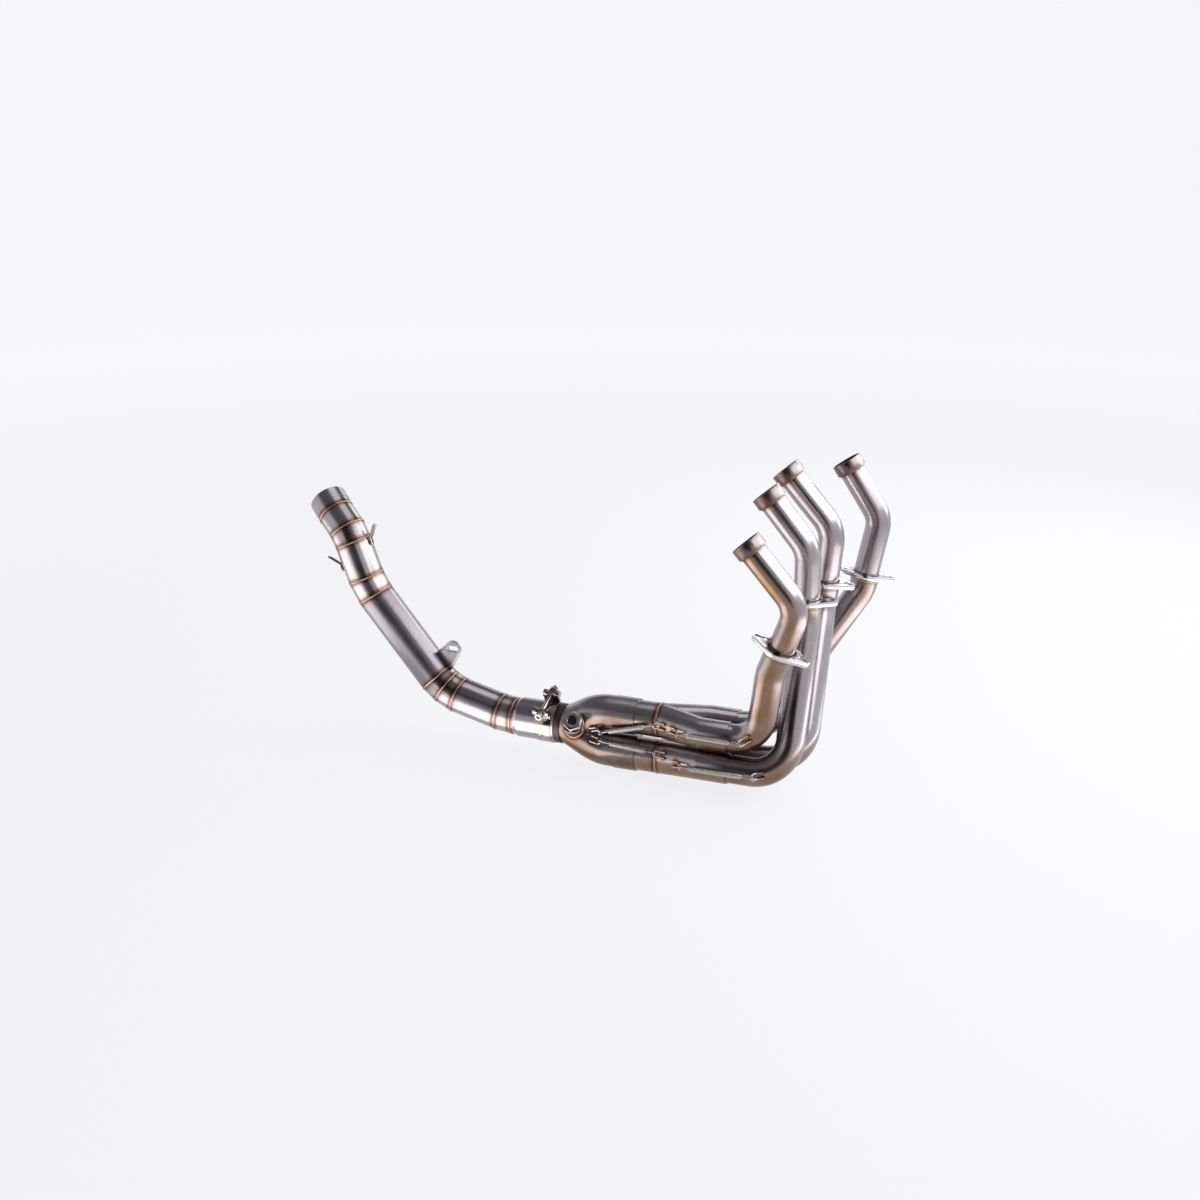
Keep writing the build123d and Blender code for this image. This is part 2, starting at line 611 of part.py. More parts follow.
# Hooks for the silencer's springs, on the link pipe's upper run: distance along it and way out
SILENCER_HOOKS = [(42.5, Vector(-0.95, -0.32, 0)), (64.0, Vector(0.99, 0.11, 0))]
silencer_hooks = []
for station, out in SILENCER_HOOKS:
    way = link_way[7]
    out = square_to(out, way)
    at = link_corner[7] + way * station + out * LINK_R
    silencer_hooks.append(wire_hook(at, out, -way, *SILENCER_HOOK)[0])
save(Compound(children=silencer_hooks), "silencer_hooks")
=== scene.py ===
# %% [markdown]
# A four-into-two-into-one exhaust header. The solids of every tube, flange, hook and spring come ready from
# the frame, in metres. This lesson gives them what the frame leaves out: smooth satin tubes with heat tints,
# weld beads, round bent wire, wound springs and softened edges. Everything is placed by what is read from
# the frame, so the pieces follow it if a size changes.

# %% Load the frame
import json
import math

import bmesh
import bpy
from mathutils import Matrix, Vector
from mathutils.bvhtree import BVHTree
from mathutils.kdtree import KDTree

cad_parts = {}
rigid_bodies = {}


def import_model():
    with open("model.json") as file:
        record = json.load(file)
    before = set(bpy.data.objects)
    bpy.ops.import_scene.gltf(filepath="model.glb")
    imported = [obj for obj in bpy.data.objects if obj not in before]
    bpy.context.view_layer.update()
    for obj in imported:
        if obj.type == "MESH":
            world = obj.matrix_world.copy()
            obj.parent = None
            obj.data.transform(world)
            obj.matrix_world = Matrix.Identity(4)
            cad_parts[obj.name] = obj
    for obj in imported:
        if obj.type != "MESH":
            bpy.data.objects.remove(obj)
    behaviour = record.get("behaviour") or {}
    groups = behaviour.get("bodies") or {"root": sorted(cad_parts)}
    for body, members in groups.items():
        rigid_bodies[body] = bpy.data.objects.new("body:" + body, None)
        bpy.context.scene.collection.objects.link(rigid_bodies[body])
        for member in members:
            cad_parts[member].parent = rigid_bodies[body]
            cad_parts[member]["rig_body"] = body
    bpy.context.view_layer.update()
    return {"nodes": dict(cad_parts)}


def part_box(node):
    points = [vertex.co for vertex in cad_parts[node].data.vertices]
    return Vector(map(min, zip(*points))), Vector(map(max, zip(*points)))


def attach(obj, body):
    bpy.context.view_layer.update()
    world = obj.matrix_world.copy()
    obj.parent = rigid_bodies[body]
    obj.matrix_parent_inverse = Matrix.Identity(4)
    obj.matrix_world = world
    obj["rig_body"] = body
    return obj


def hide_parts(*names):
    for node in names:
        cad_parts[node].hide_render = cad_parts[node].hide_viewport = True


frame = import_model()
nodes = frame["nodes"]
MM = 0.001

# %% [markdown]
# The photograph was taken from the right front, a little above, with a long lens. A camera is easiest to
# place by the point that it looks at: it stands back from that point along one direction.

# %% Camera
AZIMUTH = math.radians(21)
ELEVATION = math.radians(19)
DISTANCE = 2.0
LOOK_AT = Vector((0.022, -0.0375, 0.2075))
LENS_MM = 45
SENSOR_MM = 36

camera = bpy.data.objects.new("camera", bpy.data.cameras.new("camera"))
bpy.context.scene.collection.objects.link(camera)
back = Vector((math.sin(AZIMUTH), -math.cos(AZIMUTH), math.tan(ELEVATION))).normalized()
camera.location = LOOK_AT + back * DISTANCE
camera.rotation_euler = (-back).to_track_quat("-Z", "Y").to_euler()
camera.data.lens = LENS_MM
camera.data.sensor_width = SENSOR_MM
bpy.context.scene.camera = camera
print("camera at", [round(c, 3) for c in camera.location])

# %% [markdown]
# Polished and satin metal has hardly a colour of its own: it shows the room. The room here is a pale round
# cove, open at the top, so that every side view has a plain background. A cove could be a cylinder with a
# bevelled edge. Spinning one profile round the middle gives floor, bend and wall in one smooth piece.

# %% Round cove
COVE_RADIUS = 5.0
COVE_BEND = 1.6
COVE_TOP = 2.6
COVE_BEND_STEPS = 16
COVE_STEPS = 96
COVE_DOUBLES = 0.1 * MM


def finished(name, bm):
    """Makes a bmesh an object of its own at the origin."""
    mesh = bpy.data.meshes.new(name)
    bm.to_mesh(mesh)
    bm.free()
    piece = bpy.data.objects.new(name, mesh)
    bpy.context.scene.collection.objects.link(piece)
    return piece


def smooth_all(bm):
    """Shades every face smooth."""
    for face in bm.faces:
        face.smooth = True


bm = bmesh.new()
middle = bm.verts.new((0, 0, 0))
foot = bmesh.ops.extrude_vert_indiv(bm, verts=[middle])["verts"]
bmesh.ops.translate(bm, verts=foot, vec=(COVE_RADIUS - COVE_BEND, 0, 0))
bend = bmesh.ops.spin(
    bm, geom=foot, cent=(COVE_RADIUS - COVE_BEND, 0, COVE_BEND), axis=(0, -1, 0),
    angle=math.pi / 2, steps=COVE_BEND_STEPS
)
top = [v for v in bend["geom_last"] if isinstance(v, bmesh.types.BMVert)]
rim = bmesh.ops.extrude_vert_indiv(bm, verts=top)
bmesh.ops.translate(bm, verts=rim["verts"], vec=(0, 0, COVE_TOP - COVE_BEND))
bmesh.ops.spin(
    bm, geom=bm.verts[:] + bm.edges[:], cent=(0, 0, 0), axis=(0, 0, 1),
    angle=math.tau, steps=COVE_STEPS, use_merge=True
)
bmesh.ops.remove_doubles(bm, verts=bm.verts, dist=COVE_DOUBLES)
bmesh.ops.recalc_face_normals(bm, faces=bm.faces)
smooth_all(bm)
if sum(face.normal.z for face in bm.faces) < 0:
    bmesh.ops.reverse_faces(bm, faces=bm.faces)
cove = finished("cove", bm)
print("cove", len(cove.data.polygons), "faces")

# %% Cove material
COVE_COLOUR = (0.11, 0.112, 0.115, 1)
COVE_ROUGHNESS = 0.9
COVE_GLOSS = 0.1
COVE_GLOW_COLOUR = (0.97, 0.98, 1.0, 1)
COVE_GLOW = (0.85, 0.93)  # near the header and at the wall
COVE_LIT = (0.5, 3.6)     # the distances from the middle between which the glow rises


def new_material(name):
    """A material with its node tree and its Principled shader."""
    material = bpy.data.materials.new(name)
    material.use_nodes = True
    return material, material.node_tree, material.node_tree.nodes["Principled BSDF"]


def add_node(tree, kind, **values):
    """Adds a node and sets its properties and the defaults of its named inputs."""
    node = tree.nodes.new(kind)
    for key, value in values.items():
        if hasattr(node, key):
            setattr(node, key, value)
        else:
            node.inputs[key].default_value = value
    return node


material, tree, shader = new_material("pale_cove")
shader.inputs["Base Color"].default_value = COVE_COLOUR
shader.inputs["Roughness"].default_value = COVE_ROUGHNESS
shader.inputs["Specular IOR Level"].default_value = COVE_GLOSS
shader.inputs["Emission Color"].default_value = COVE_GLOW_COLOUR
path = add_node(tree, "ShaderNodeLightPath")
seen = add_node(tree, "ShaderNodeMath", operation="ADD", use_clamp=True)
tree.links.new(path.outputs["Is Camera Ray"], seen.inputs[0])
tree.links.new(path.outputs["Is Glossy Ray"], seen.inputs[1])
seen_through = add_node(tree, "ShaderNodeMath", operation="ADD", use_clamp=True)
tree.links.new(seen.outputs[0], seen_through.inputs[0])
tree.links.new(path.outputs["Is Transmission Ray"], seen_through.inputs[1])
place = add_node(tree, "ShaderNodeTexCoord")
away = add_node(tree, "ShaderNodeVectorMath", operation="LENGTH")
tree.links.new(place.outputs["Object"], away.inputs[0])
level = add_node(tree, "ShaderNodeMapRange", interpolation_type="SMOOTHSTEP")
for socket, value in zip(("From Min", "From Max", "To Min", "To Max"), COVE_LIT + COVE_GLOW):
    level.inputs[socket].default_value = value
tree.links.new(away.outputs["Value"], level.inputs["Value"])
glow = add_node(tree, "ShaderNodeMath", operation="MULTIPLY")
tree.links.new(seen_through.outputs[0], glow.inputs[0])
tree.links.new(level.outputs["Result"], glow.inputs[1])
tree.links.new(glow.outputs[0], shader.inputs["Emission Strength"])
cove.data.materials.append(material)
print("cove glow", COVE_GLOW)

# %% [markdown]
# The tubes in the photograph are lit from the right and from behind, and from low down on the left. They are
# dark where they face the camera, which gives each its white streaks with a dark streak between. Soft boxes
# near the header, glowing cards on the floor and a dark curtain behind the camera do the same.

# %% Lamps and world
LAMPS = [  # name, place, point that it faces, size and power in watts
    ("window_right", (1.05, -0.05, 1.0), LOOK_AT, (1.5, 0.62), 10),
    ("window_far_right", (1.15, 1.0, 0.85), LOOK_AT, (1.4, 0.8), 11),
    ("window_back", (0.25, 1.4, 0.95), LOOK_AT, (0.8, 0.5), 4),
    ("left_card", (-0.86, -0.75, 0.01), (-0.86, -0.75, 1), (0.9, 1.2), 8),
    ("near_card", (-0.1, -0.36, 0.01), (-0.1, -0.36, 1), (0.3, 0.44), 1.15),
    ("right_card", (0.78, -0.08, 0.01), (0.78, -0.08, 1), (0.5, 0.7), 3.2),
    ("skylight", (0.1, 0.4, 2.4), LOOK_AT, (1.4, 1.4), 8),
]
for name, place, aim, size, power in LAMPS:
    lamp = bpy.data.lights.new(name, "AREA")
    lamp.shape = "RECTANGLE"
    lamp.size, lamp.size_y = size
    lamp.energy = power
    holder = bpy.data.objects.new(name, lamp)
    holder.location = place
    holder.rotation_euler = (Vector(aim) - Vector(place)).to_track_quat("-Z", "Y").to_euler()
    holder.visible_camera = False
    bpy.context.scene.collection.objects.link(holder)

CURTAIN_AWAY = Vector((0.12, -0.99, 0)) * 2.7
CURTAIN_SIZE = (2.5, 2.6)
CURTAIN_COLOUR = (0.03, 0.027, 0.03, 1)
ROOM_COLOUR = (0.55, 0.52, 0.56, 1)
ROOM_STRENGTH = 0.3

bm = bmesh.new()
bmesh.ops.create_grid(bm, x_segments=1, y_segments=1, size=0.5)
upright = Matrix.Rotation(math.pi / 2, 4, "X") @ Matrix.Diagonal((*CURTAIN_SIZE, 1, 1))
bmesh.ops.transform(bm, matrix=upright, verts=bm.verts)
bmesh.ops.translate(bm, verts=bm.verts, vec=CURTAIN_AWAY + Vector((0, 0, CURTAIN_SIZE[1] / 2)))
curtain = finished("curtain", bm)
curtain.visible_camera = False
material, tree, shader = new_material("dark_curtain")
shader.inputs["Base Color"].default_value = CURTAIN_COLOUR
shader.inputs["Roughness"].default_value = 1.0
curtain.data.materials.append(material)

world = bpy.data.worlds.new("dim_room")
world.use_nodes = True
background = world.node_tree.nodes["Background"]
background.inputs["Color"].default_value = ROOM_COLOUR
background.inputs["Strength"].default_value = ROOM_STRENGTH
bpy.context.scene.world = world
bpy.context.scene.view_settings.view_transform = "Standard"
print(len(LAMPS), "lamps")

# %% [markdown]
# The tubes are blasted to a satin grey and then coloured by the heat of welding: straw, copper, violet and
# grey, in narrow bands beside each bead. Both effects are used by several finishes, so each is a node group.
# The grain reads Object coordinates. The heat is a number that each piece carries on its own vertices,
# worked out from how near the next bead is, because only the piece knows where its welds are.

# %% Shared effect: satin grain
def new_group(name, inputs, outputs):
    """An empty shader node group with float or colour sockets."""
    group = bpy.data.node_groups.new(name, "ShaderNodeTree")
    for label, kind, default in inputs:
        socket = group.interface.new_socket(label, in_out="INPUT", socket_type=kind)
        socket.default_value = default
    for label, kind in outputs:
        group.interface.new_socket(label, in_out="OUTPUT", socket_type=kind)
    return group, add_node(group, "NodeGroupInput"), add_node(group, "NodeGroupOutput")


FLOAT = "NodeSocketFloat"
COLOUR = "NodeSocketColor"
MIX_A, MIX_B, MIX_RESULT = 6, 7, 2  # places of the colour sockets on a Mix node
CLOUD_SCALE = 28.0
CLOUD_SPREAD = (0.3, 0.7)

grain, given, result = new_group(
    "satin_grain",
    [("Grain size", FLOAT, 900.0), ("Smooth", FLOAT, 0.26), ("Rough", FLOAT, 0.4)],
    [("Height", FLOAT), ("Roughness", FLOAT), ("Cloud", FLOAT)],
)
place = add_node(grain, "ShaderNodeTexCoord")
fine = add_node(grain, "ShaderNodeTexNoise", Detail=3.0, Roughness=0.6)
grain.links.new(place.outputs["Object"], fine.inputs["Vector"])
grain.links.new(given.outputs["Grain size"], fine.inputs["Scale"])
cloud = add_node(grain, "ShaderNodeTexNoise", Scale=CLOUD_SCALE, Detail=4.0, Roughness=0.55)
grain.links.new(place.outputs["Object"], cloud.inputs["Vector"])
spread = add_node(grain, "ShaderNodeMapRange")
spread.inputs["From Min"].default_value, spread.inputs["From Max"].default_value = CLOUD_SPREAD
grain.links.new(cloud.outputs["Fac"], spread.inputs["Value"])
grain.links.new(given.outputs["Smooth"], spread.inputs["To Min"])
grain.links.new(given.outputs["Rough"], spread.inputs["To Max"])
grain.links.new(fine.outputs["Fac"], result.inputs["Height"])
grain.links.new(spread.outputs["Result"], result.inputs["Roughness"])
grain.links.new(cloud.outputs["Fac"], result.inputs["Cloud"])
print("group", grain.name)

# %% Shared effect: heat colours beside a weld
HEAT_BANDS = [
    (0.05, (1.0, 1.0, 1.0, 1)),
    (0.30, (0.93, 0.76, 0.58, 1)),
    (0.55, (0.66, 0.40, 0.27, 1)),
    (0.78, (0.40, 0.27, 0.27, 1)),
    (1.00, (0.45, 0.40, 0.44, 1)),
]
HEAT_PATCHES = (0.9, 0.55)  # how far the cloud changes the heat, and what is left without it
heat, given, result = new_group(
    "heat_colours",
    [("Metal", COLOUR, (0.5, 0.5, 0.5, 1)), ("Heat", FLOAT, 0.0), ("Cloud", FLOAT, 0.5)],
    [("Color", COLOUR)],
)
uneven = add_node(heat, "ShaderNodeMath", operation="MULTIPLY_ADD")
uneven.inputs[1].default_value, uneven.inputs[2].default_value = HEAT_PATCHES
heat.links.new(given.outputs["Cloud"], uneven.inputs[0])
blotched = add_node(heat, "ShaderNodeMath", operation="MULTIPLY", use_clamp=True)
heat.links.new(given.outputs["Heat"], blotched.inputs[0])
heat.links.new(uneven.outputs[0], blotched.inputs[1])
bands = add_node(heat, "ShaderNodeValToRGB")
while len(bands.color_ramp.elements) < len(HEAT_BANDS):
    bands.color_ramp.elements.new(0.5)
for element, (position, colour) in zip(bands.color_ramp.elements, HEAT_BANDS):
    element.position = position
    element.color = colour
heat.links.new(blotched.outputs[0], bands.inputs["Fac"])
tinted = add_node(heat, "ShaderNodeMix", data_type="RGBA", blend_type="MULTIPLY")
tinted.inputs["Factor"].default_value = 1.0
heat.links.new(given.outputs["Metal"], tinted.inputs[MIX_A])
heat.links.new(bands.outputs["Color"], tinted.inputs[MIX_B])
heat.links.new(tinted.outputs[MIX_RESULT], result.inputs["Color"])
print("group", heat.name, len(HEAT_BANDS), "bands")

# %% [markdown]
# A painted warm reflection tints the tubes brown on the right-hand side and underneath. The tint could
# be painted by hand. Here the direction that a surface faces gives the mask, and slow noise breaks it up.

# %% Shared effect: painted warm reflection
# The painted warm reflection lies on faces turned to this side
REFLECTION_SIDE = Vector((0.05, -0.80, -0.60)).normalized()
REFLECTION_EDGE = (0.15, 0.95)     # how squarely a face looks to that side where the painted reflection starts and is full
REFLECTION_PATCHES = (1.2, 0.35)   # how far the cloud changes it, and what is left without it

warm_reflection, given, result = new_group(
    "painted_warm_reflection",
    [("Metal", COLOUR, (0.5, 0.5, 0.5, 1)), ("Bronze", COLOUR, (0.4, 0.25, 0.15, 1)),
     ("Amount", FLOAT, 1.0), ("Cloud", FLOAT, 0.5)],
    [("Color", COLOUR)],
)
facing = add_node(warm_reflection, "ShaderNodeNewGeometry")
towards = add_node(warm_reflection, "ShaderNodeVectorMath", operation="DOT_PRODUCT")
towards.inputs[1].default_value = REFLECTION_SIDE
warm_reflection.links.new(facing.outputs["Normal"], towards.inputs[0])
mask = add_node(warm_reflection, "ShaderNodeMapRange", interpolation_type="SMOOTHSTEP")
mask.inputs["From Min"].default_value, mask.inputs["From Max"].default_value = REFLECTION_EDGE
warm_reflection.links.new(towards.outputs["Value"], mask.inputs["Value"])
broken = add_node(warm_reflection, "ShaderNodeMath", operation="MULTIPLY_ADD")
broken.inputs[1].default_value, broken.inputs[2].default_value = REFLECTION_PATCHES
warm_reflection.links.new(given.outputs["Cloud"], broken.inputs[0])
patchy = add_node(warm_reflection, "ShaderNodeMath", operation="MULTIPLY")
warm_reflection.links.new(mask.outputs["Result"], patchy.inputs[0])
warm_reflection.links.new(broken.outputs[0], patchy.inputs[1])
share = add_node(warm_reflection, "ShaderNodeMath", operation="MULTIPLY", use_clamp=True)
warm_reflection.links.new(patchy.outputs[0], share.inputs[0])
warm_reflection.links.new(given.outputs["Amount"], share.inputs[1])
mixed = add_node(warm_reflection, "ShaderNodeMix", data_type="RGBA")
warm_reflection.links.new(share.outputs[0], mixed.inputs["Factor"])
warm_reflection.links.new(given.outputs["Metal"], mixed.inputs[MIX_A])
warm_reflection.links.new(given.outputs["Bronze"], mixed.inputs[MIX_B])
warm_reflection.links.new(mixed.outputs[MIX_RESULT], result.inputs["Color"])
print("group", warm_reflection.name)

# %% [markdown]
# Each finish is the same metal shader with its own values: base colour, how satin it is, how much painted
# warm reflection it has and whether it carries weld heat.

# %% Metal finishes
GRAIN_DEPTH = 0.2 * MM
CLOUD_SHADE = 0.14  # the cloud makes the metal this much darker or lighter


def metal(name, colour, smooth, rough, grain_size=900.0, bump=0.05, reflected_bronze=None, amount=0.0, heated=False):
    """A metal with satin grain and, where wanted, painted warm reflection and weld heat."""
    material, tree, shader = new_material(name)
    shader.inputs["Metallic"].default_value = 1.0
    texture = add_node(tree, "ShaderNodeGroup", node_tree=grain)
    texture.inputs["Grain size"].default_value = grain_size
    texture.inputs["Smooth"].default_value = smooth
    texture.inputs["Rough"].default_value = rough
    tree.links.new(texture.outputs["Roughness"], shader.inputs["Roughness"])
    relief = add_node(tree, "ShaderNodeBump", Strength=bump, Distance=GRAIN_DEPTH)
    tree.links.new(texture.outputs["Height"], relief.inputs["Height"])
    tree.links.new(relief.outputs["Normal"], shader.inputs["Normal"])
    ramp = add_node(tree, "ShaderNodeMix", data_type="RGBA")
    ramp.inputs[MIX_A].default_value = [c * (1 - CLOUD_SHADE) for c in colour] + [1]
    ramp.inputs[MIX_B].default_value = [min(1, c * (1 + CLOUD_SHADE)) for c in colour] + [1]
    tree.links.new(texture.outputs["Cloud"], ramp.inputs["Factor"])
    last = ramp.outputs[MIX_RESULT]
    if reflected_bronze:
        warm = add_node(tree, "ShaderNodeGroup", node_tree=warm_reflection)
        warm.inputs["Bronze"].default_value = (*reflected_bronze, 1)
        warm.inputs["Amount"].default_value = amount
        tree.links.new(last, warm.inputs["Metal"])
        tree.links.new(texture.outputs["Cloud"], warm.inputs["Cloud"])
        last = warm.outputs["Color"]
    if heated:
        near_weld = add_node(tree, "ShaderNodeAttribute", attribute_name="weld_heat")
        tint = add_node(tree, "ShaderNodeGroup", node_tree=heat)
        tree.links.new(last, tint.inputs["Metal"])
        tree.links.new(near_weld.outputs["Fac"], tint.inputs["Heat"])
        tree.links.new(texture.outputs["Cloud"], tint.inputs["Cloud"])
        last = tint.outputs["Color"]
    tree.links.new(last, shader.inputs["Base Color"])
    return material


TUBE_GREY = (0.37, 0.345, 0.37)
RUN_GREY = (0.25, 0.232, 0.256)  # the main run and its tab are darker than the other link pieces
# Colours of the painted warm reflection
REFLECTED_BRONZE = (0.22, 0.13, 0.075)
MERGE_REFLECTED_BROWN = (0.15, 0.096, 0.066)
BOSS_REFLECTED_BROWN = (0.12, 0.065, 0.04)
SATIN = (0.22, 0.30)  # roughness where the cloud is thin and where it is thick


def heated_tube(name, amount, grey=TUBE_GREY, satin=SATIN, reflected_bronze=REFLECTED_BRONZE):
    """A tube's finish: satin grey with weld heat and its own share of painted warm reflection."""
    return metal(name, grey, *satin, reflected_bronze=reflected_bronze, amount=amount, heated=True)


# The number after each tube's name is its share of painted warm reflection
run_satin = heated_tube("run_satin", 0.12, grey=RUN_GREY, satin=(0.28, 0.36))
link_satin = heated_tube("link_satin", 0.12)
stub_satin = heated_tube("stub_satin", 0.35)
tube_satin = heated_tube("tube_satin", 0.9)
merge_satin = heated_tube("merge_satin", 1.0, satin=(0.26, 0.34), reflected_bronze=MERGE_REFLECTED_BROWN)
leg_satin = heated_tube("leg_satin", 1.0)
# The port rings and the boss carry painted warm reflection as well
ring_brown = metal("ring_brown", (0.26, 0.225, 0.22), 0.26, 0.36, reflected_bronze=(0.13, 0.075, 0.058), amount=0.9)
flange_bright = metal("flange_bright", (0.62, 0.61, 0.62), 0.12, 0.2, grain_size=500.0, bump=0.03)
clamp_bright = metal("clamp_bright", (0.36, 0.31, 0.28), 0.12, 0.22, grain_size=600.0)
spring_bright = metal("spring_bright", (0.5, 0.47, 0.44), 0.16, 0.26)
hook_steel = metal("hook_steel", (0.42, 0.37, 0.34), 0.16, 0.28)
plug_bright = metal("plug_bright", (0.68, 0.66, 0.64), 0.1, 0.18)
boss_brown = heated_tube("boss_brown", 1.0, grey=(0.2, 0.16, 0.14), satin=(0.26, 0.36), reflected_bronze=BOSS_REFLECTED_BROWN)
weld_copper = metal("weld_copper", (0.34, 0.25, 0.2), 0.2, 0.34, bump=0.1)
# Near-black: the graphite gasket's own colour, and painted shade of the gap in the joint
gasket_gap_shade = metal("gasket_gap_shade", (0.06, 0.05, 0.05), 0.4, 0.55)
print("finishes ready")

# %% Painted shade in the bores
# The bores are painted near-black: painted shade, and partly the carbon of a used pipe
RECESS_DARKEST = (0.008, 0.007, 0.007, 1)
RECESS_PALEST = (0.045, 0.038, 0.034, 1)
RECESS_ROUGHNESS = (0.7, 0.95)

recess_shade, tree, shader = new_material("recess_shade")
recess_cloud = add_node(tree, "ShaderNodeGroup", node_tree=grain)
recess_cloud.inputs["Smooth"].default_value, recess_cloud.inputs["Rough"].default_value = RECESS_ROUGHNESS
shade_of = add_node(tree, "ShaderNodeMix", data_type="RGBA")
shade_of.inputs[MIX_A].default_value = RECESS_DARKEST
shade_of.inputs[MIX_B].default_value = RECESS_PALEST
tree.links.new(recess_cloud.outputs["Cloud"], shade_of.inputs["Factor"])
tree.links.new(shade_of.outputs[MIX_RESULT], shader.inputs["Base Color"])
tree.links.new(recess_cloud.outputs["Roughness"], shader.inputs["Roughness"])
print("soot ready")

# %% [markdown]
# A node's mesh is loose triangles. A copy with its doubles merged can be shaded smooth, with sharp edges only
# where two faces really meet at an angle, and its edge loops can be read: every open tube end has an outer
# and an inner loop.

# %% Copies of the solids
SHARP = math.radians(35)
COPY_DOUBLES = 0.002 * MM


def solid_copy(name):
    """A merged working copy of a node's triangles, with its sharp edges marked."""
    bm = bmesh.new()
    bm.from_mesh(nodes[name].data)
    bmesh.ops.remove_doubles(bm, verts=bm.verts, dist=COPY_DOUBLES)
    mark_sharp(bm)
    return bm


def mark_sharp(bm):
    """Smooth faces everywhere, sharp edges where two faces meet at an angle."""
    smooth_all(bm)
    for edge in bm.edges:
        edge.smooth = len(edge.link_faces) == 2 and edge.calc_face_angle() < SHARP


def straightest(here, came, edges):
    """The edge that leads on from a vertex with the least turn."""
    return max(edges, key=lambda edge: came.dot((edge.other_vert(here).co - here.co).normalized()))


def outer_rings(name):
    """The outer edge loops of a round node, each a list of points in order, without the bore's loops."""
    bm = solid_copy(name)
    loops = []
    left = dict.fromkeys(edge for edge in bm.edges if not edge.smooth)
    while left:
        edge = left.popitem()[0]
        start, here = edge.verts
        chain, sides = [start], [edge]
        while here not in chain:
            came = here.co - chain[-1].co
            chain.append(here)
            ahead = [e for e in here.link_edges if e in left and e is not sides[-1]]
            if not ahead:
                break
            sides.append(straightest(here, came, ahead))
            here = sides[-1].other_vert(here)
        if here is not start:
            continue
        for edge in sides[1:]:
            del left[edge]
        middle = sum((v.co for v in chain), Vector()) / len(chain)
        outward = sum(f.normal.dot(f.calc_center_median() - middle) for e in sides for f in e.link_faces)
        if outward > 0:
            loops.append([v.co.copy() for v in chain])
    bm.free()
    return loops


def ring_of(loop):
    """Centre, normal, shortest and longest radius of a round or oval loop, and the way of the longest one."""
    sides = [(a, b, (b - a).length) for a, b in zip(loop, loop[1:] + loop[:1])]
    around = sum(length for _, _, length in sides)
    centre = sum(((a + b) / 2 * length for a, b, length in sides), Vector()) / around
    normal = sum(((a - centre).cross(b - centre) for a, b, _ in sides), Vector()).normalized()
    arms = sorted((p - centre for p in loop), key=lambda arm: arm.length)
    return centre, normal, arms[0].length, arms[-1].length, arms[-1].normalized()


def middle_of(name):
    """The middle of a node's box."""
    low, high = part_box(name)
    return (low + high) / 2


print("leg 1 ends with radii", [round(ring_of(loop)[2] / MM, 2) for loop in outer_rings("head_leg_1")], "mm")

# %% [markdown]
# Every seam of the header is a weld. Between two mitred pieces of the link pipe it is an oval, at the foot of
# a stub or a collector's outlet it is round, and round the sensor boss it climbs over two tubes. All of them
# are edge loops of the solids, so they are found there and not drawn again.

# %% Seams
LINK_ORDER = [
    "link_inlet", "link_gusset_1", "link_lower_run", "link_gusset_2", "link_gusset_3", "link_main_run",
    "link_gusset_4", "link_upper_run", "link_gusset_5", "link_gusset_6", "link_tail",
]


def loop_nearest(name, point):
    """The outer loop of a node whose middle is nearest to a point."""
    return min(outer_rings(name), key=lambda loop: (ring_of(loop)[0] - point).length)


link_seams = [loop_nearest(after, middle_of(before)) for before, after in zip(LINK_ORDER, LINK_ORDER[1:])]
outlet_seams = [
    loop_nearest(f"{place}_second_tube", middle_of(f"{place}_collector")) for place in ("upper", "lower")
]
step_seams = [loop_nearest(f"head_leg_{n}", middle_of(f"port_flange_{n}")) for n in range(1, 5)]
ring_seams = [loop_nearest(f"port_ring_{n}", middle_of(f"head_stub_{n}")) for n in range(1, 5)]
boss_seam = loop_nearest("sensor_boss", middle_of("final_merge"))
print(len(link_seams + outlet_seams + step_seams + ring_seams) + 1, "seams")

# %% [markdown]
# A welder lays a bead as a row of small overlapping pools. The bead could be a torus with a bump map. A round
# section spun about the seam's axis, stretched to the oval and rippled in the mesh keeps its ripples in
# every light. A seam on the underside of a plate is set a little way along the tube.

# %% Weld beads
BEAD_STEPS = 220
BEAD_SIDES = 8
POOL_LENGTH = 1.9 * MM
POOL_RIPPLE = 0.16  # of the bead's height
LINK_BEAD = (2.6 * MM, 0.55 * MM)  # width and height
OUTLET_BEAD = (3.0 * MM, 0.7 * MM)
STEP_BEAD = (3.6 * MM, 0.9 * MM)
STEP_SHIFT = 2.4 * MM
RING_BEAD = (2.4 * MM, 1.1 * MM)
RING_SHIFT = 0.6 * MM
RING_SHRINK = 3.2 * MM


def along_to(way):
    """A turn that lays the Z axis along a direction."""
    return way.to_track_quat("Z", "Y").to_matrix().to_4x4()


def dress(piece, material, body="header"):
    """Gives a new piece its finish and the body that it rides on."""
    piece.data.materials.append(material)
    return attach(piece, body)


